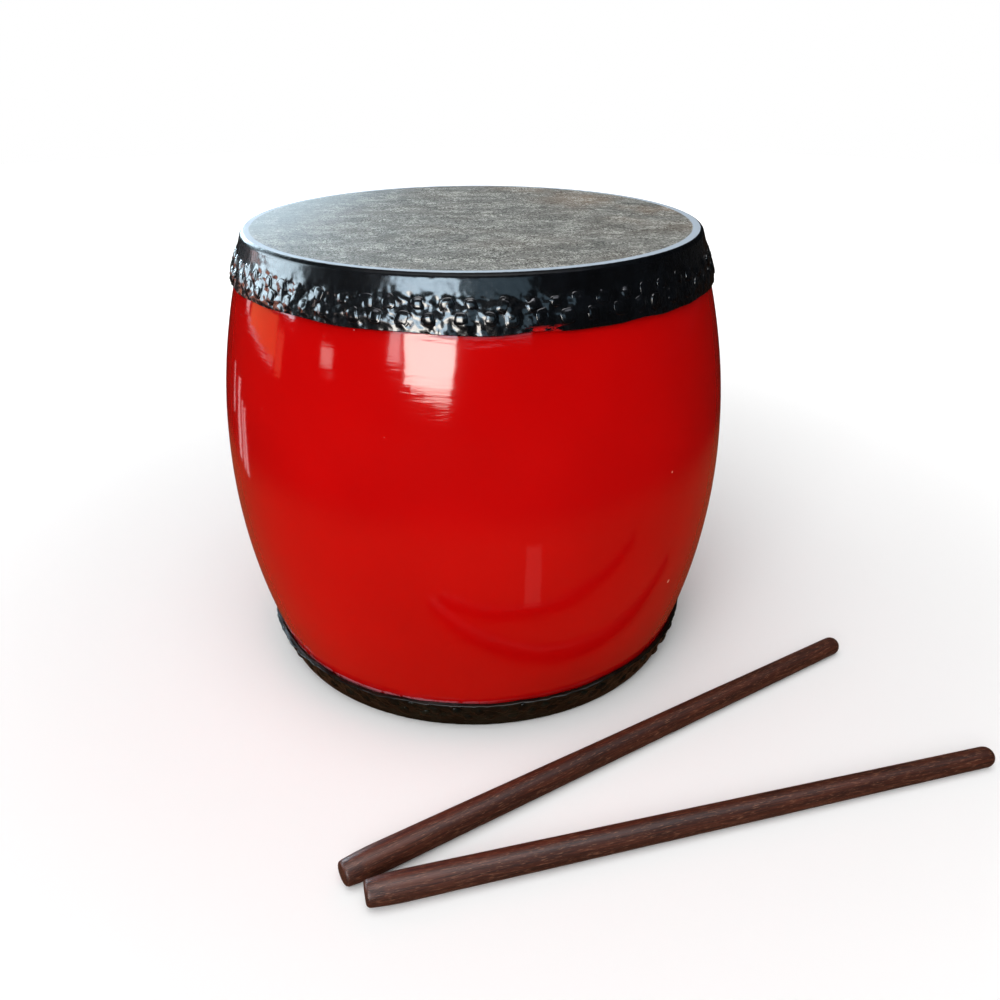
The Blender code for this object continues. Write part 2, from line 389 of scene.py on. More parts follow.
# %% Windows that gloss mirrors
WARM_WHITE = (1.0, 0.95, 0.88)
COOL_WHITE = (0.84, 0.88, 1.0)
SKY = (0.66, 0.85, 1.0)
BACK_SKY = (0.66, 0.86, 1.0)
PALE_SKY = (0.70, 0.88, 1.0)
DEEP_SKY = (0.50, 0.78, 1.0)
PEACH = (1.0, 0.85, 0.80)
FAINT_PINK = (1.0, 0.88, 0.88)
PINK = (1.0, 0.75, 0.78)
ROSE = (1.0, 0.55, 0.50)
RUST = (1.0, 0.26, 0.10)
BRICK = (1.0, 0.26, 0.14)
SLIT_AWAY = 0.45
SLITS = (
    (-112.5, -111.3, -14, -6, 1.4), (-107, -105, -21, -7, 1.6),
    (-103, -101.7, -22, -10, 1.6), (-100.8, -99, -23, -11, 1.6),
)
GLEAM_AWAY = 0.30
BACK_AWAY = 3.0

# The large window left of the camera: its glass, the steps of its sill, its side and the sky above
window("front_window", -28, -7, 6.2, 15.5, 18, WARM_WHITE)
window("front_window_low", -25, -7.5, 4.2, 6.2, 14, WARM_WHITE)
window("front_window_sill", -20, -8, 2.8, 4.2, 9, WARM_WHITE)
window("front_window_foot", -15, -9, 1.4, 2.8, 4.5, WARM_WHITE)
window("front_window_side", -35, -30, 8.5, 15.5, 6, FAINT_PINK)
window("front_window_sky", -34, -7, 16.5, 27, 12, SKY)

# A dim window to the right of it and a small one to the left
window("right_window", -3, 26, 15, 27, 1.0, DEEP_SKY)
window("small_window", -66, -60, 3.2, 7.0, 4.2, PEACH)

# The left side: sky above a warm wall with its edges and a post, and four near slits of light
window("left_sky", -118, -84, 7, 27, 8, PALE_SKY)
window("left_room", -116, -93, -2.2, 4.8, 2.0, RUST)
window("left_room_edge", -122, -118, -2.2, 5, 2.2, PINK)
window("left_room_foot", -118, -94, -3.2, -2.4, 1.6, PINK)
window("left_room_post", -92.5, -88.5, -3.5, 3, 1.5, BRICK)
for number, slit in enumerate(SLITS, 1):
    window(f"left_slit_{number}", *slit, PINK, SLIT_AWAY)

# A short gleam low on the front, the daylight behind the drum and the ceiling
window("front_gleam", 15.8, 19.9, -34, -21.5, 0.40, ROSE, GLEAM_AWAY)
window("back_light", 193, 224, 7, 20, 26, BACK_SKY, BACK_AWAY)
window("ceiling", -40, 40, 62, 86, 1.4, COOL_WHITE)
print("lamps:", len(bpy.data.lights))

# %% [markdown]
# Lacquer would mirror the white floor too. A product photographer keeps such a mirror image out with
# dark cards, and so does this cell: one card lies on the floor, warm brown like boards near the drum
# and dark farther off, and one stands round it. Only gloss sees them: they are hidden from the
# camera, and they cast no shadow.

# %% Dark cards
WALL_HEIGHT = 6.0
WALL_COLOUR = (0.025, 0.025, 0.025, 1.0)
NEAR_BROWN = (0.20, 0.08, 0.035)
FAR_BROWN = (0.02, 0.012, 0.008)
BROWN_ENDS = (0.40, 0.62)
FLOOR_CARD_LEVEL = 0.0004


def card(name, mesh, level, material):
    """A card that only gloss sees."""
    sheet = bpy.data.objects.new(name, mesh)
    sheet.location.z = level
    sheet.visible_camera = False
    sheet.visible_diffuse = False
    sheet.visible_shadow = False
    mesh.materials.append(material)
    bpy.context.scene.collection.objects.link(sheet)


boards = Finish("floor_card", Roughness=1.0, Specular_IOR_Level=0.0)
farther = boards.away_from(FLOOR_MIDDLE).rise(*BROWN_ENDS)
board_colour = boards.blend(farther, NEAR_BROWN, FAR_BROWN)
card("floor_card", disc("floor_card"), FLOOR_CARD_LEVEL, boards.feed(Base_Color=board_colour))

wall_card_mesh = bpy.data.meshes.new("wall_card")
shape = bmesh.new()
tube = {"radius1": FLOOR_RADIUS, "radius2": FLOOR_RADIUS, "depth": WALL_HEIGHT}
bmesh.ops.create_cone(shape, segments=ROUND_SEGMENTS, **tube)
shape.to_mesh(wall_card_mesh)
shape.free()
dark_wall = Finish("wall_card", Base_Color=WALL_COLOUR, Roughness=1.0, Specular_IOR_Level=0.0)
card("wall_card", wall_card_mesh, WALL_HEIGHT / 2, dark_wall.material)
print(f"wall card: {WALL_HEIGHT} m high and {2 * FLOOR_RADIUS} m across")

# %% [markdown]
# Handmade surfaces are never quite even. `ripples` gives smooth random hills by adding waves that
# run in many directions: the same seed always gives the same hills, and since they depend on the
# place in space, they join up round the drum without a seam. The other helpers turn a section into
# a closed mesh and put a finished piece in the scene.

# %% Uneven surfaces
WAVES = 40
WAVE_SPREAD = (0.6, 1.3)
SHARP_FROM = math.radians(40)


def ripples(points, size, seed):
    """Smooth hills and hollows, mostly -1 to 1, with a typical size in metres, at points (..., 3)."""
    draw = np.random.default_rng(seed)
    total = np.zeros(points.shape[:-1])
    for _ in range(WAVES):
        direction = draw.normal(size=3)
        direction *= 2 * math.pi / size * draw.uniform(*WAVE_SPREAD) / np.linalg.norm(direction)
        total += np.sin(points @ direction + draw.uniform(0, 2 * math.pi))
    return total / math.sqrt(WAVES)


def turned(outline, columns):
    """Points (row, column, 3) of a section (radius, height), turned about the upright axis."""
    angles = np.arange(columns) / columns * 2 * math.pi
    radius, level = np.array(outline).T
    across = np.outer(radius, np.cos(angles)), np.outer(radius, np.sin(angles))
    return np.stack([*across, np.repeat(level[:, None], columns, axis=1)], axis=-1)


def closed_body(name, points, poles):
    """A closed mesh from rows of points round an axis: with a pole at each end, or with rows in a ring."""
    rows, columns, _ = points.shape
    mesh = bpy.data.meshes.new(name)
    if poles:
        inner = points[1:-1].reshape(-1, 3)
        corners = np.vstack([points[:1, 0], inner, points[-1:, 0]])
        ring = np.arange(inner.shape[0]).reshape(rows - 2, columns) + 1
    else:
        corners = points.reshape(-1, 3)
        ring = np.arange(corners.shape[0]).reshape(rows, columns)
        ring = np.vstack([ring, ring[:1]])
    after = np.roll(ring, -1, axis=1)
    quads = np.stack([ring[:-1], ring[1:], after[1:], after[:-1]], axis=-1).reshape(-1, 4)
    faces = quads.tolist()
    if poles:
        last = len(corners) - 1
        faces += [(0, a, b) for a, b in zip(ring[0].tolist(), after[0].tolist())]
        faces += [(last, b, a) for a, b in zip(ring[-1].tolist(), after[-1].tolist())]
    mesh.from_pydata(corners.tolist(), [], faces)
    mesh.validate()
    mesh.shade_smooth()
    mesh.set_sharp_from_angle(angle=SHARP_FROM)
    return mesh


def add_piece(name, mesh, body, slot, *replaced, location=(0, 0, 0), rotation=(0, 0, 0)):
    """Put a piece in the scene, on its body, and hide the nodes that it stands for; the slot is not used.
    """
    piece = bpy.data.objects.new(name, mesh)
    piece.location = location
    piece.rotation_euler = rotation
    bpy.context.scene.collection.objects.link(piece)
    if replaced:
        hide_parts(*replaced)
    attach(piece, body)
    print(f"{name}: {len(mesh.polygons)} faces")


# %% [markdown]
# Jackfruit is the usual wood for such a shell: yellow to brown, with long wavy grain. Only the
# inside of the drum shows it, since the outside is lacquered, but it is real wood there too.

# %% Jackfruit wood
JACKFRUIT_BROWN = shade(150, 98, 42)
JACKFRUIT_GOLD = shade(206, 152, 74)
JACKFRUIT_PORE = shade(112, 70, 30)


def jackfruit_wood():
    """Golden brown wood whose grain runs up the staves."""
    finish = Finish("jackfruit_wood", Specular_IOR_Level=0.35)
    along = finish.stretched(finish.place(), (1, 1, 0.08))
    bands = finish.noise(along, 0.012, 5, 0.6, 0.8)
    pores = finish.noise(finish.stretched(finish.place(), (1, 1, 0.03)), 0.0012, 2)
    colour = finish.blend(bands.rise(0.3, 0.7), JACKFRUIT_BROWN, JACKFRUIT_GOLD)
    colour = finish.blend(pores.rise(0.6, 0.8), colour, JACKFRUIT_PORE)
    finish.bump(pores, 0.0001)
    return finish.feed(Base_Color=colour, Roughness=0.5 + 0.2 * bands)


wood = jackfruit_wood()
print("jackfruit wood:", len(wood.node_tree.nodes), "shader nodes")

# %% [markdown]
# The staves. Each is a board with a bowed outside and inside and two slanted edges, so that 22 of
# them close into a barrel. A stave could be carved from a block, but it is a piece of a turned shape,
# so its section is swept through its share of the circle, which gives the slanted edges by itself.

# %% Staves
JOINT_LINE = 0.0001
STAVE_COLUMNS = 9
STAVE_LEVELS = 41
STAVE_SHARP_FROM = math.radians(30)


def stave_section():
    """The section (radius, height) of a stave: down the outside, then up the inside."""
    levels = np.linspace(SHELL_TOP, HEIGHT - SHELL_TOP, STAVE_LEVELS)
    from_end = SHELL_TOP - np.maximum(levels, MIDDLE + abs(levels - MIDDLE))
    straight = END_RADIUS + from_end * math.tan(LEAN)
    outside = np.where(abs(levels - MIDDLE) > HEM_LEVEL - MIDDLE, straight, belly_radius(levels))
    outside[[0, -1]] -= EDGE_ROUND
    inside_levels = levels[::-2]
    inside = belly_radius(inside_levels) - STAVE_THICKNESS
    return list(zip(outside - JOINT_LINE, levels)) + list(zip(inside, inside_levels))


def stave_points(index):
    """The points of one stave in its place: its section, repeated across its share of the circle."""
    section = np.array(stave_section())
    turn = 2 * math.pi / STAVES
    half = turn / 2 - JOINT_LINE / END_RADIUS / 2
    angles = index * turn + np.linspace(-half, half, STAVE_COLUMNS)
    across = np.outer(np.cos(angles), section[:, 0]), np.outer(np.sin(angles), section[:, 0])
    return np.stack([*across, np.repeat(section[None, :, 1], STAVE_COLUMNS, axis=0)], axis=-1)


for index in range(STAVES):
    name = f"stave_{index + 1:02d}"
    points = stave_points(index)
    count = points.shape[1]
    ring = np.arange(STAVE_COLUMNS * count).reshape(STAVE_COLUMNS, count)
    after = np.roll(ring, -1, axis=1)
    faces = np.stack([ring[:-1], after[:-1], after[1:], ring[1:]], axis=-1).reshape(-1, 4).tolist()
    faces += [ring[0][::-1].tolist(), ring[-1].tolist()]
    mesh = bpy.data.meshes.new(name)
    mesh.from_pydata(points.reshape(-1, 3).tolist(), [], faces)
    mesh.shade_smooth()
    mesh.set_sharp_from_angle(angle=STAVE_SHARP_FROM)
    mesh.materials.append(wood)
    add_piece(name, mesh, "drum", "red_lacquered_wood", f"pegged_{name}")

# %% [markdown]
# The lacquer. Filled, sanded and sprayed in many coats, it hides the joints between the staves, so
# it is one continuous skin over all of them. It is modelled as what it is, a thin closed film, with
# the faint hills that show where a straight window edge is mirrored in it. Its chips, along the
# lower hem at the left, and its two nicks are too shallow to model, so the colour alone shows them.

# %% Lacquer over the staves
LACQUER_THICKNESS = 0.00012
LACQUER_FOOT = 0.00002
LACQUER_LEVELS = 121
LACQUER_COLUMNS = 528
UNDER_THE_HEM = 0.006
LACQUER_REDS = (0.50, 0.0010, 0.0010), (0.55, 0.0013, 0.0013)
CHIP_PINK = shade(226, 128, 140)
NICK_PINK = shade(236, 150, 130)
# For each nick: its place on the lacquer and its size
NICKS = (((0.1302, -0.1111, 0.0900), 0.0017), ((0.1230, -0.1245, 0.1772), 0.0009))
CHIPPED_SIDE = (-0.866, -0.5)
LOWER_HEM_DROP = 0.0010
CHIPPED_HEM_DROP = 0.0024


def hem_chips(finish, place):
    """1 where the lacquer has chipped to a pink ground, in a ragged line over the lower hem."""
    x, y, z = finish.axes(place)
    side = ((x * CHIPPED_SIDE[0] + y * CHIPPED_SIDE[1]) / END_RADIUS).rise(0.0, 1.0)
    over_hem = z - (HEM_DEPTHS["bottom"] - LOWER_HEM_DROP - CHIPPED_HEM_DROP * side * side)
    ragged = finish.noise(finish.stretched(place, (1, 1, 0.8)), 0.0050, 3, 0.7)
    near = over_hem.rise(0.0005 + 0.0034 * ragged, 0.0001 + 0.0026 * ragged)
    return near * side.rise(0.30, 0.85) * ragged.rise(0.36, 0.46)


def red_lacquer():
    """Deep red gloss: clear over an even colour, with brush-fine ripples and a few specks of dust."""
    finish = Finish("red_lacquer", Specular_IOR_Level=0.50, Roughness=0.075)
    place = finish.place()
    colour = finish.blend(finish.noise(place, 0.09, 2).rise(0.3, 0.7), *LACQUER_REDS)
    colour = finish.blend(hem_chips(finish, place) * 0.85, colour, CHIP_PINK)
    for point, size in NICKS:
        colour = finish.blend(finish.away_from(point).rise(size, 0.5 * size), colour, NICK_PINK)
    turning = finish.stretched(place, (0.15, 0.15, 1.0))
    finish.bump(finish.noise(turning, 0.004, 3, 0.55), 0.00008)
    finish.bump(finish.noise(place, 0.030, 1), 0.00022)
    dust = 1 - finish.cells(place, 0.016).rise(0.0, 0.045)
    finish.bump(dust, 0.00012)
    return finish.feed(Base_Color=colour)


def lacquer_points():
    """The film: its outside from the upper hem to the lower, then back up just inside."""
    ends = HEM_LEVEL + UNDER_THE_HEM, HEM_DEPTHS["bottom"] - UNDER_THE_HEM
    levels = np.linspace(*ends, LACQUER_LEVELS)
    hidden = np.maximum(abs(levels - MIDDLE) - (HEM_LEVEL - MIDDLE), 0)
    radius = belly_radius(np.clip(levels, HEIGHT - HEM_LEVEL, HEM_LEVEL)) - hidden * math.tan(LEAN)
    outside = turned(list(zip(radius + LACQUER_THICKNESS, levels)), LACQUER_COLUMNS)
    swell = 0.00005 * ripples(outside, 0.07, 11) + 0.000012 * ripples(outside, 0.018, 12)
    outside[..., :2] *= 1 + swell[..., None] / BELLY_RADIUS
    inside = turned(list(zip(radius[::-6] + LACQUER_FOOT, levels[::-6])), LACQUER_COLUMNS)
    return np.vstack([outside, inside])


lacquer = closed_body("shell_lacquer", lacquer_points(), poles=False)
lacquer.materials.append(red_lacquer())
add_piece("shell_lacquer", lacquer, "drum", "red_lacquered_wood")

# %% [markdown]
# The hides. A wet hide is pulled over the edge and dries hard: flat and grained on top, with a pale
# worn ring near the bend, whose blue tint is a painted reflection of the sky, and lumpy on the skirt,
# where the pegs push it about and thick black paint has run round them. The paint comes first,
# because the pegs are under the same coat: one function makes it for both.

# %% Black paint
PAINTS = {
    "top": {"clean": (4, 5, 7), "dusty": (9, 12, 16), "rough": 0.26, "gloss": 0.09, "coat": 1.0},
    "bottom": {"clean": (5, 9, 7), "dusty": (22, 25, 18), "rough": 0.28, "gloss": 0.06, "coat": 0.4},
}
COAT_ROUGHNESS = 0.15
COAT_IOR = 1.6


def paint_gloss(end):
    """The constants of a surface under one head's black paint."""
    return dict(Specular_IOR_Level=PAINTS[end]["gloss"], Coat_Roughness=COAT_ROUGHNESS, Coat_IOR=COAT_IOR)


def black_paint(finish, place, end):
    """Thick black paint, dustier on the lower head: colour, roughness, and two heights of relief."""
    paint = PAINTS[end]
    dust = finish.noise(place, 0.010, 4, 0.6).rise(0.35, 0.7)
    colour = finish.blend(dust, shade(*paint["clean"]), shade(*paint["dusty"]))
    lumps = finish.noise(place, 0.0035, 3, 0.55, 0.3)
    grain = finish.noise(place, 0.0011, 2, 0.6)
    return colour, paint["rough"] + 0.12 * finish.noise(place, 0.006, 3), lumps, grain


# %% [markdown]
# Real hide is many things at once, so the flat is laid on part by part: a fine grain, soft clouds, tan
# patches, and short pale fibres that lie in three directions. Two more marks are painted light, not
# hide: a warm reflection that deepens the tan at the back right, and a pale blue sheen at the left.
# A fibre is drawn where smooth noise passes through its middle value, which gives thin winding lines,
# and other noise breaks them up.

# %% Bare hide
HIDE_COLOURS = {
    "dark_grain": shade(50, 52, 51),
    "light_grain": shade(116, 116, 111),
    "cloud": shade(160, 161, 156),
    # The tan serves random tan patches and also a painted warm reflection at the back right of the flat
    "tan": shade(140, 108, 78),
    "fibre": shade(224, 225, 218),
    # Painted sheen: the pale blue-grey of light glancing off the left of the flat, not a colour of the hide
    "painted_sheen": shade(178, 196, 208),
    # The ring: pale worn hide, its blue-grey tint a painted reflection of the sky on the bend
    "ring": shade(184, 198, 212),
    "smear": shade(176, 12, 14),
}
# For each family of fibres: its turn, its size, and the step that moves its pattern
FIBRES = ((0.55, 0.0050, 0.0), (-0.80, 0.0040, 3.7), (1.30, 0.0034, 8.1))


def hide_fibres(finish, place):
    """1 on the pale fibres and specks of the bare hide, which show in tufts."""
    fibres = None
    for turn, size, step in FIBRES:
        strand = finish.stretched(finish.moved(place, step), (0.45, 1.0, 1.0), (0, 0, turn))
        line = 1 - abs(finish.noise(strand, size, 2, 0.6, 1.2) - 0.5).rise(0.0, 0.026)
        fibres = line if fibres is None else fibres.or_more(line)
    specks = 1 - finish.cells(finish.stretched(place, (1.0, 0.7, 1)), 0.0021).rise(0.14, 0.30)
    tufts = finish.noise(finish.stretched(place, (0.7, 1, 1)), 0.016, 5, 0.72).rise(0.42, 0.62)
    return fibres.or_more(specks) * (0.30 + 0.70 * tufts)


def bare_hide(finish, place, fibres):
    """The flat's colour: grain, clouds, tan patches, painted reflection at the back right, fibres, painted
    sheen at left.
    """
    x, y, _ = finish.axes(place)
    grain_dots = finish.noise(place, 0.0017, 3, 0.7).rise(0.42, 0.58)
    cloud = finish.noise(finish.stretched(place, (0.55, 1, 1), (0, 0, 0.06)), 0.018, 5, 0.70)
    # Random tan patches, made much stronger at the back right as a painted warm reflection
    warm_reflection_side = (0.8 * x + 0.6 * y).rise(0.05, 0.15)
    tan_and_reflection = finish.noise(place, 0.045, 3).rise(0.40, 0.75) * (0.10 + 0.60 * warm_reflection_side)
    # Painted sheen: a pale blue-grey laid over the left of the flat, where light from behind glances off it
    painted_sheen = (0.9 * x - 0.2 * y).rise(-0.055, -0.150)
    colour = finish.blend(grain_dots, HIDE_COLOURS["dark_grain"], HIDE_COLOURS["light_grain"])
    colour = finish.blend(cloud.rise(0.40, 0.72) * 0.35, colour, HIDE_COLOURS["cloud"])
    colour = finish.blend(tan_and_reflection, colour, HIDE_COLOURS["tan"])
    colour = finish.blend(fibres * 0.95, colour, HIDE_COLOURS["fibre"])
    return finish.blend(painted_sheen * 0.55, colour, HIDE_COLOURS["painted_sheen"])


# %% [markdown]
# Bare hide and painted skirt are one surface, so the shader tells them apart by how far a point lies
# from the drum's axis. The edge between them is a little ragged, as a brush leaves it.

# %% Hide with its paint
# Distances from the axis where the paint and the pale ring start, and how soft their edges are
PAINT_FROM = 0.1491
PAINT_EDGE = 0.00015
RING_FROM = 0.1448
RING_EDGE = 0.0009
# How far below the flat the glossy coat starts, and where it is whole
COAT_FADES = (0.0008, 0.0030)


def red_smear(finish, place):
    """1 on the smear of red that runs over the upper hem, right of the front."""
    x, y, z = finish.axes(place)
    at_hem = z.rise(HEIGHT - 0.0262, HEIGHT - 0.0285) * y.rise(0, -0.1)
    smear = finish.noise(finish.stretched(place, (0.5, 0.5, 1.5)), 0.004, 3, 0.6).rise(0.46, 0.54)
    return smear * at_hem * x.rise(0.030, 0.036) * x.rise(0.056, 0.048)


def hide_finish(end):
    """Bare hide on the flat, a pale worn ring with a painted sky reflection near the bend, black paint
    below it.
    """
    finish = Finish(f"{end}_hide_and_paint", **paint_gloss(end))
    place = finish.place()
    x, y, z = finish.axes(place)
    radius = (x * x + y * y) ** 0.5
    ragged = 0.0006 * (finish.noise(place, 0.004, 3) - 0.5)
    painted = (radius + ragged).rise(PAINT_FROM - PAINT_EDGE, PAINT_FROM + PAINT_EDGE)
    bare = 1 - painted
    wander = 0.0008 * finish.noise(place, 0.01, 2) + 0.004 * x
    # The pale ring: worn hide, with its blue-grey tint a painted reflection of the sky on the bend
    ring = (radius + wander).rise(RING_FROM, RING_FROM + RING_EDGE)
    leather = finish.cells(finish.stretched(place, (0.8, 1, 1)), 0.0016)
    fibres = hide_fibres(finish, place)
    paint, paint_roughness, lumps, grain = black_paint(finish, place, end)
    colour = finish.blend(ring, bare_hide(finish, place, fibres), HIDE_COLOURS["ring"])
    colour = finish.blend(painted, colour, paint)
    if end == "top":
        colour = finish.blend(red_smear(finish, place), colour, HIDE_COLOURS["smear"])
    finish.bump(leather * bare, 0.00010)
    finish.bump(fibres * bare, 0.00006)
    finish.bump(lumps * painted, 0.00035)
    finish.bump(grain * painted, 0.00010)
    roughness = (0.56 + 0.12 * leather) * bare + paint_roughness * painted
    off_the_flat = abs(z - MIDDLE).rise(MIDDLE - COAT_FADES[0], MIDDLE - COAT_FADES[1])
    coat = painted * off_the_flat * PAINTS[end]["coat"]
    return finish.feed(Base_Color=colour, Roughness=roughness, Coat_Weight=coat)


# %% [markdown]
# Where the pegs are: two rows of 66 round each hide, set like bricks. They are cut and driven by
# hand, so each one is a little off its place, turned, and more or less square. The draw is seeded,
# so the pegs are the same each time.

# %% Peg places
SKIRT_SWELL = 0.0009
SWELL_ABOVE_HEM = 0.0060
SWELL_WIDTH = 0.0085
UPPER_HEM_DROP = 0.0019
UPPER_DROP_ANGLE = math.radians(-20)
CHIPPED_ANGLE = math.radians(150)
PEG_HALF_SIDES = (0.0026, 0.0032)
PEG_STANDS = {"top": (0.0001, 0.0006), "bottom": (0.0004, 0.0012)}
PEG_MOUNDS = (0.0002, 0.0007)
# How far a peg strays from its place: along the row, up or down, in its turn and in its lean
STRAYS = {"angle": 0.006, "depth": 0.00035, "turn": 0.22, "tilt": 0.07}


def skirt_swell(depth, hem):
    """How far paint and pegs make the skirt stand out, by depth below the end of the drum."""
    return SKIRT_SWELL * np.exp(-((depth - hem + SWELL_ABOVE_HEM) / SWELL_WIDTH) ** 2)


def skirt_point(angle, depth, hem, out=0.0):
    """A point on a skirt as on top, and the directions outward and round the skirt there."""
    line = END_RADIUS + (HIDE_THICKNESS + FIT_GAP + skirt_swell(depth, hem) + out) / math.cos(LEAN)
    radius = line + (depth - HEIGHT + SHELL_TOP) * math.tan(LEAN)
    across = Vector((math.cos(angle), math.sin(angle), 0))
    outward = across * math.cos(LEAN) + Vector((0, 0, math.sin(LEAN)))
    around = Vector((-math.sin(angle), math.cos(angle), 0))
    return across * radius + Vector((0, 0, HEIGHT - depth)), outward, around


def hem_wave(angle, end):
    """How much deeper than usual the hem runs at an angle round a head, as on top, in metres."""
    if end == "top":
        return UPPER_HEM_DROP * np.maximum(0, np.cos(angle - UPPER_DROP_ANGLE))
    return -LOWER_HEM_DROP - CHIPPED_HEM_DROP * np.maximum(0, np.cos(angle - CHIPPED_ANGLE)) ** 2


def draw_pegs(end, seed):
    """Per row: each peg's angle, depth, turn, half side, height, mound of paint and lean."""
    draw = np.random.default_rng(seed)
    rows = {}
    for name, depth in PEG_ROW_DEPTHS[end].items():
        shift = PEG_PITCH / 4 * (1 if name == "hem" else -1)
        rows[name] = [
            {
                "angle": index * PEG_PITCH + shift + draw.normal(0, STRAYS["angle"]),
                "depth": depth + draw.normal(0, STRAYS["depth"]),
                "turn": draw.normal(0, STRAYS["turn"]),
                "half": draw.uniform(*PEG_HALF_SIDES),
                "stands": draw.uniform(*PEG_STANDS[end]),
                "mound": draw.uniform(*PEG_MOUNDS),
                "tilt": draw.normal(0, STRAYS["tilt"], size=2),
            }
            for index in range(PEGS_IN_ROW)
        ]
    return rows


pegs = {"top": draw_pegs("top", 21), "bottom": draw_pegs("bottom", 22)}
print("pegs:", sum(len(row) for rows in pegs.values() for row in rows.values()))

# %% [markdown]
# The shape of a hide is a section turned about the drum's axis: the flat, the bend, the skirt and a
# rounded hem, then back up the inside. With each point goes its share of the skirt's relief: none on
# the flat and the lining, all of it on the skirt.

# %% Section of a hide
BEND_POINTS = 11
STILL_BEND_POINTS = 6
BEND_RELIEF = 0.3
HEM_RELIEF = [0.7, 0.2]
HEM_ROUNDING_FROM = 0.0006
HEM_ROUNDING = ((0.0002, 0.0003), (0.0, 0.0009))
RIM_CENTRE = END_RADIUS - EDGE_ROUND * (1 - math.sin(LEAN)) / math.cos(LEAN)


def rim(offset, steps):
    """Points (radius, height) of the bend, offset from the shell's rounded edge, from the top down."""
    angles = np.linspace(math.pi / 2, LEAN, steps)
    reach = EDGE_ROUND + offset
    centre_level = SHELL_TOP - EDGE_ROUND
    return list(zip(RIM_CENTRE + reach * np.cos(angles), centre_level + reach * np.sin(angles)))


def skirt_line(depths, offset):
    """Points (radius, height) down the straight skirt, offset outside the shell."""
    radius = END_RADIUS + offset / math.cos(LEAN) + (depths - HEIGHT + SHELL_TOP) * math.tan(LEAN)
    return list(zip(radius, HEIGHT - depths))


def hide_outline(hem_depth):
    """A hide's section, as on top, and for each point how much of the skirt's relief it takes."""
    outer, inner = HIDE_THICKNESS + FIT_GAP, FIT_GAP
    bend = rim(outer, BEND_POINTS)
    bend_ends = HEIGHT - bend[-1][1]
    flat = [(radius, HEIGHT) for radius in np.linspace(0, RIM_CENTRE, 24)[:-1]]
    skirt = skirt_line(np.linspace(bend_ends, hem_depth - HEM_ROUNDING_FROM, 40)[1:], outer)
    hem = [skirt_line(np.array([hem_depth - up]), outer - inward)[0] for up, inward in HEM_ROUNDING]
    lining = skirt_line(np.linspace(hem_depth, bend_ends, 7), inner) + rim(inner, 6)[::-1][1:]
    lid = [(radius, SHELL_TOP + FIT_GAP) for radius in np.linspace(RIM_CENTRE, 0, 6)[1:]]
    outline = flat + bend + skirt + hem + lining + lid
    still = [0.0] * (len(flat) + STILL_BEND_POINTS)
    relief = still + [BEND_RELIEF] * (BEND_POINTS - STILL_BEND_POINTS) + [1.0] * len(skirt) + HEM_RELIEF
    return outline, np.array(relief + [0.0] * (len(lining) + len(lid)))


for end, depth in HEM_DEPTHS.items():
    print(f"points in the section of the {end} hide:", len(hide_outline(depth)[0]))

# %% [markdown]
# A sculptor would push the skirt about by hand. Here the same push is a sum: the swell that the two
# rows of pegs give it, lumps of paint, and a mound round each peg. The hem also sways up and down a
# little, as a cut edge does when it dries. The lower hide is made as on top and then up-ended.

# %% Hide shapes
HIDE_COLUMNS = 1056
# The lumps of paint: their height, their size, and the step from the hide's seed
LUMPS = ((0.00026, 0.010, 0), (0.00016, 0.0045, 1), (0.00006, 0.0022, 3))
LUMPS_FROM = 0.0085
LUMPS_FADE = 0.005
LUMPS_AT_RIM = 0.14
SWAY = 0.0005
SWAY_SIZE = 0.03
SWAY_REACH = 0.009
MOUND_REACH = 0.009
MOUND_SOFTNESS = 0.0007


def peg_ridges(points, rows, hem):
    """How the hide and its paint swell round each peg, in metres, at points of a skirt as on top."""
    total = np.zeros(points.shape[:-1])
    for row in rows.values():
        for peg in row:
            place, outward, around = skirt_point(peg["angle"], peg["depth"], hem)
            down = around.cross(outward)
            near = np.abs(points - np.array(place)).max(axis=-1) < MOUND_REACH
            offset = points[near] - np.array(place)
            across, along = offset @ np.array(around), offset @ np.array(down)
            cosine, sine = math.cos(peg["turn"]), math.sin(peg["turn"])
            u, v = across * cosine + along * sine, along * cosine - across * sine
            edge = (np.abs(u) ** 4 + np.abs(v) ** 4) ** 0.25 - peg["half"]
            mound = peg["mound"] / (1 + np.exp(np.clip(edge / MOUND_SOFTNESS, -30, 30)))
            total[near] = np.maximum(total[near], mound)
    return total


def hide_mesh(end, seed):
    """A hide with its rim, its skirt pushed about by the pegs, and a slightly ragged hem."""
    hem_depth = HEM_DEPTHS[end]
    outline, relief = hide_outline(hem_depth)
    points = turned(outline, HIDE_COLUMNS)
    depth = HEIGHT - points[..., 2]
    lumps = sum(height * ripples(points, size, seed + step) for height, size, step in LUMPS)
    below_rim = np.clip((depth - LUMPS_FROM) / LUMPS_FADE, LUMPS_AT_RIM, 1)
    push = skirt_swell(depth, hem_depth) + lumps * below_rim + peg_ridges(points, pegs[end], hem_depth)
    push *= relief[:, None]
    outward = points * np.array([1, 1, 0])
    outward /= np.maximum(np.linalg.norm(outward, axis=-1, keepdims=True), 1e-9)
    points[..., :2] += (outward * push[..., None])[..., :2] * math.cos(LEAN)
    points[..., 2] += push * math.sin(LEAN)
    near_hem = np.clip((depth - hem_depth + SWAY_REACH) / SWAY_REACH, 0, 1)
    wave = hem_wave(np.arctan2(points[..., 1], points[..., 0]), end)
    points[..., 2] += near_hem * (SWAY * ripples(points, SWAY_SIZE, seed + 2) - wave)
    if end == "bottom":
        points = points * np.array([1, -1, -1]) + np.array([0, 0, HEIGHT])
    return closed_body(f"{end}_hide", points, poles=True)


for end, seed in (("top", 31), ("bottom", 41)):
    mesh = hide_mesh(end, seed)
    mesh.materials.append(hide_finish(end))
    add_piece(f"{end}_hide", mesh, "drum", "hide", f"{end}_head")

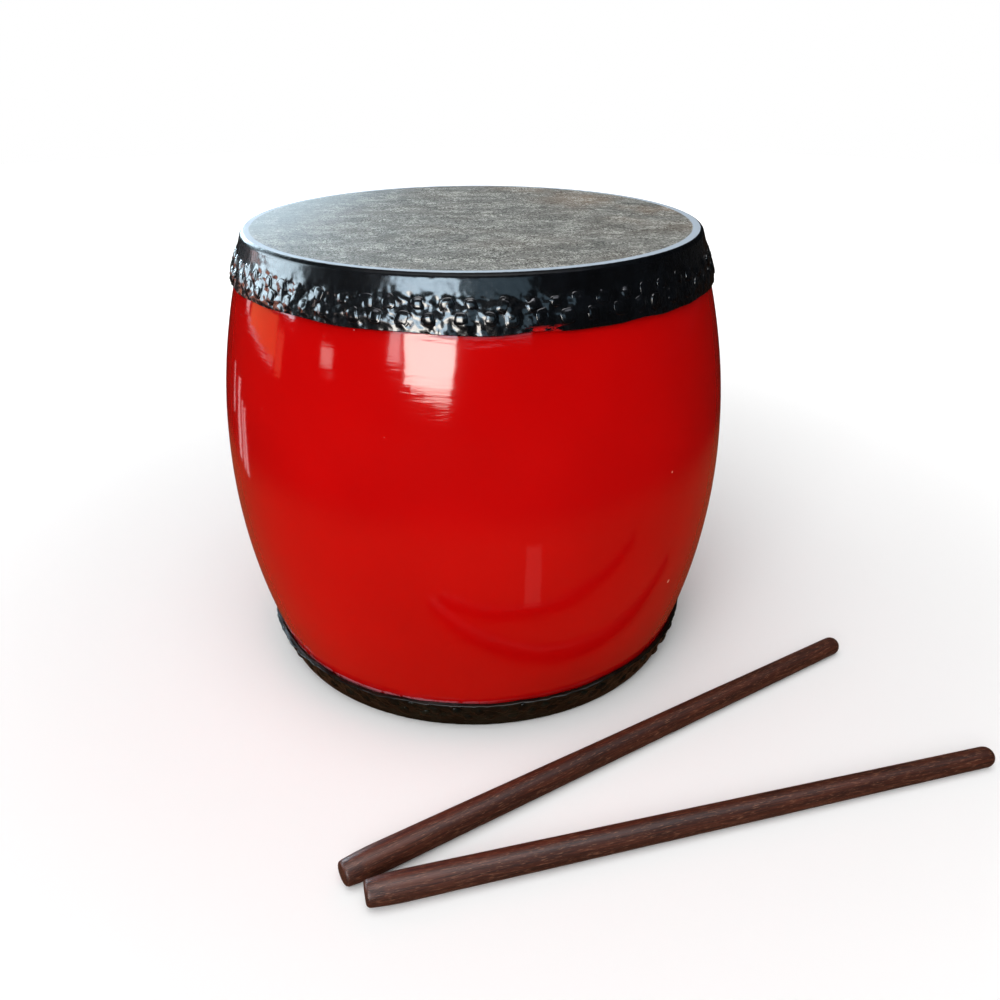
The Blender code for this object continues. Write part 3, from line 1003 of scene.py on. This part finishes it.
# %% [markdown]
# The pegs. A peg is a split square of hard wood with a blunt head. Under the paint its corners are
# soft and its foot runs out into the skirt, so each head is drawn as rings of a rounded square:
# a low dome, a rounded edge, a side, and a flared foot that goes into the hide.

# %% Pegs
# For each ring of the head: its width as a share of the peg's, and its height as a share of the peg's
PEG_RINGS = (
    (0.30, 1.0), (0.55, 0.93), (0.75, 0.78), (0.90, 0.56), (1.02, 0.32), (1.16, 0.14), (1.32, 0.03)
)
# For each ring of the foot: its width in the same way, and its height in metres
PEG_FOOT = ((1.42, -0.0004), (1.1, -0.0011))
PEG_SIDES = 24
PEG_SQUARENESS = 3.2
MOUND_UNDER_PEG = 0.30
PEG_SEEDS = {"top": 96, "bottom": 126}


def peg_head(peg, hem, draw):
    """Corners and faces of one peg head, in its place as on top."""
    place, outward, around = skirt_point(peg["angle"], peg["depth"], hem, MOUND_UNDER_PEG * peg["mound"])
    height = peg["stands"] + (1 - MOUND_UNDER_PEG) * peg["mound"]
    turn = Matrix.Rotation(peg["turn"], 3, outward)
    across = turn @ around
    down = across.cross(outward)
    lean_across, lean_down = peg["tilt"]
    corners = [place + outward * height]
    angles = np.arange(PEG_SIDES) / PEG_SIDES * 2 * math.pi
    powers = np.abs(np.cos(angles)) ** PEG_SQUARENESS + np.abs(np.sin(angles)) ** PEG_SQUARENESS
    rounding = powers ** (-1 / PEG_SQUARENESS)
    first, second = draw.uniform(0, 6), draw.uniform(0, 6)
    uneven = 1 + 0.05 * np.sin(angles * 2 + first) + 0.03 * np.sin(angles * 3 + second)
    rings = [(share, lift * height) for share, lift in PEG_RINGS] + list(PEG_FOOT)
    for share, lift in rings:
        for angle, reach in zip(angles, rounding * uneven * peg["half"] * share):
            u, v = math.cos(angle) * reach, math.sin(angle) * reach
            raised = lift + (lean_across * u + lean_down * v) * (lift > 0)
            corners.append(place + across * u + down * v + outward * raised)
    corners.append(place + outward * PEG_FOOT[-1][1])
    faces = []
    for side in range(PEG_SIDES):
        after = (side + 1) % PEG_SIDES
        faces.append((0, 1 + after, 1 + side))
        for ring in range(len(rings) - 1):
            start = 1 + ring * PEG_SIDES
            below = start + PEG_SIDES
            faces.append((start + side, start + after, below + after, below + side))
        start = 1 + (len(rings) - 1) * PEG_SIDES
        faces.append((len(corners) - 1, start + side, start + after))
    return corners, faces


def painted_pegs(end):
    """Pegs under the same thick black paint as the skirt that they hold."""
    finish = Finish(f"{end}_painted_pegs", Coat_Weight=PAINTS[end]["coat"], **paint_gloss(end))
    place = finish.place()
    colour, roughness, lumps, grain = black_paint(finish, place, end)
    finish.bump(lumps, 0.00030)
    finish.bump(grain, 0.00008)
    return finish.feed(Base_Color=colour, Roughness=roughness)


for end in ("top", "bottom"):
    peg_material = painted_pegs(end)
    for row, row_pegs in pegs[end].items():
        draw = np.random.default_rng(PEG_SEEDS[end])
        corners, faces = [], []
        for peg in row_pegs:
            own_corners, own_faces = peg_head(peg, HEM_DEPTHS[end], draw)
            faces += [tuple(corner + len(corners) for corner in face) for face in own_faces]
            corners += own_corners
        if end == "bottom":
            corners = [Vector((c.x, -c.y, HEIGHT - c.z)) for c in corners]
        mesh = bpy.data.meshes.new(f"{end}_{row}_pegs")
        mesh.from_pydata(corners, [], faces)
        mesh.shade_smooth()
        mesh.materials.append(peg_material)
        add_piece(f"{end}_{row}_pegs", mesh, "drum", "red_lacquered_wood")

# %% [markdown]
# The sticks are of rosewood, a dark, heavy wood with fine lines along it. The lines are noise that is
# drawn out along the stick, so they close up to dots on its ends, as real grain does.

# %% Rosewood
ROSEWOOD_DARK = shade(56, 24, 14)
ROSEWOOD_RED = shade(84, 42, 27)
ROSEWOOD_LINE = shade(30, 14, 10)
ROSEWOOD_PORE = shade(134, 90, 68)


def rosewood():
    """Dark red-brown wood with fine dark and light lines along the stick."""
    finish = Finish("rosewood", Specular_IOR_Level=0.42)
    place = finish.place()
    bands = finish.noise(finish.stretched(place, (1, 1, 0.04)), 0.0045, 4, 0.6, 0.4)
    lines = finish.noise(finish.stretched(place, (1, 1, 0.02)), 0.0006, 3, 0.65)
    pores = finish.noise(finish.stretched(place, (1, 1, 0.10)), 0.0005, 2, 0.6)
    colour = finish.blend(bands.rise(0.3, 0.7), ROSEWOOD_DARK, ROSEWOOD_RED)
    colour = finish.blend(lines.rise(0.46, 0.60) * 0.80, colour, ROSEWOOD_LINE)
    colour = finish.blend(pores.rise(0.56, 0.70) * 0.70, colour, ROSEWOOD_PORE)
    finish.bump(lines, 0.00010)
    finish.bump(pores, 0.00004)
    return finish.feed(Base_Color=colour, Roughness=0.30 + 0.20 * lines)


rosewood_material = rosewood()
print("rosewood:", len(rosewood_material.node_tree.nodes), "shader nodes")

# %% [markdown]
# Each stick is turned: thick at the butt, which narrows a little to a flat end with a rounded edge,
# and thinner towards a domed tip. So it is a section turned about its axis, made a little uneven. It
# lies on its side, tipped by its own taper, so that its whole shaft is along the floor.

# %% Sticks
STICK_LENGTH = 0.400
STICK_BUTT_RADIUS = 0.0084
STICK_TIP_RADIUS = 0.0065
BUTT_NARROWS = 0.0010
BUTT_NARROWS_OVER = 0.0220
BUTT_EDGE_ROUND = 0.0025
TAPER = STICK_BUTT_RADIUS - STICK_TIP_RADIUS
TAPER_LENGTH = STICK_LENGTH - BUTT_NARROWS_OVER - STICK_TIP_RADIUS
STICK_COLUMNS = 48
STICK_UNEVEN = 0.006
STICK_UNEVEN_SIZE = 0.03
FLOOR_CLEARANCE = 0.00006
BACK_BUTT = Vector((-0.0681, -0.2796))
FRONT_BUTT = Vector((-0.0540, -0.2919))
BACK_HEADING = math.radians(32.1)
FRONT_HEADING = math.radians(15.4)


def stick_outline():
    """The section (radius, distance from the tip, negative): tip, shaft, butt."""
    quarter = np.linspace(0, math.pi / 2, 9)
    tip = list(zip(STICK_TIP_RADIUS * np.sin(quarter), STICK_TIP_RADIUS * (np.cos(quarter) - 1)))
    shaft = [
        (STICK_TIP_RADIUS + TAPER * share, -STICK_TIP_RADIUS - TAPER_LENGTH * share)
        for share in np.linspace(0, 1, 40)[1:]
    ]
    straight = BUTT_NARROWS_OVER - BUTT_EDGE_ROUND
    butt = [
        (STICK_BUTT_RADIUS - BUTT_NARROWS * share ** 2, BUTT_NARROWS_OVER - STICK_LENGTH - straight * share)
        for share in np.linspace(0, 1, 6)[1:]
    ]
    flat = STICK_BUTT_RADIUS - BUTT_NARROWS - BUTT_EDGE_ROUND
    edge = [
        (flat + BUTT_EDGE_ROUND * math.cos(angle), BUTT_EDGE_ROUND * (1 - math.sin(angle)) - STICK_LENGTH)
        for angle in quarter[2:]
    ]
    end = [(flat * share, -STICK_LENGTH) for share in (0.66, 0.33, 0.0)]
    return tip + shaft + butt + edge + end


def add_stick(name, node, butt, heading, seed):
    """A stick on its body, its butt at a point of the floor, lying along its heading."""
    points = turned(stick_outline(), STICK_COLUMNS)
    hills = ripples(points * np.array([1, 1, 0.5]), STICK_UNEVEN_SIZE, seed)
    points[..., :2] *= 1 + STICK_UNEVEN * hills[..., None]
    mesh = closed_body(name, points, poles=True)
    mesh.materials.append(rosewood_material)
    tilt = math.atan(TAPER / TAPER_LENGTH)
    run = STICK_LENGTH * math.cos(tilt)
    tip_height = STICK_TIP_RADIUS * (math.cos(tilt) - math.sin(tilt)) + FLOOR_CLEARANCE
    tip = (butt.x + run * math.cos(heading), butt.y + run * math.sin(heading), tip_height)
    lying = (0, math.pi / 2 + tilt, heading)
    add_piece(name, mesh, node, "rosewood", node, location=tip, rotation=lying)


add_stick("back_stick", "stick_back", BACK_BUTT, BACK_HEADING, 51)
add_stick("front_stick", "stick_front", FRONT_BUTT, FRONT_HEADING, 52)
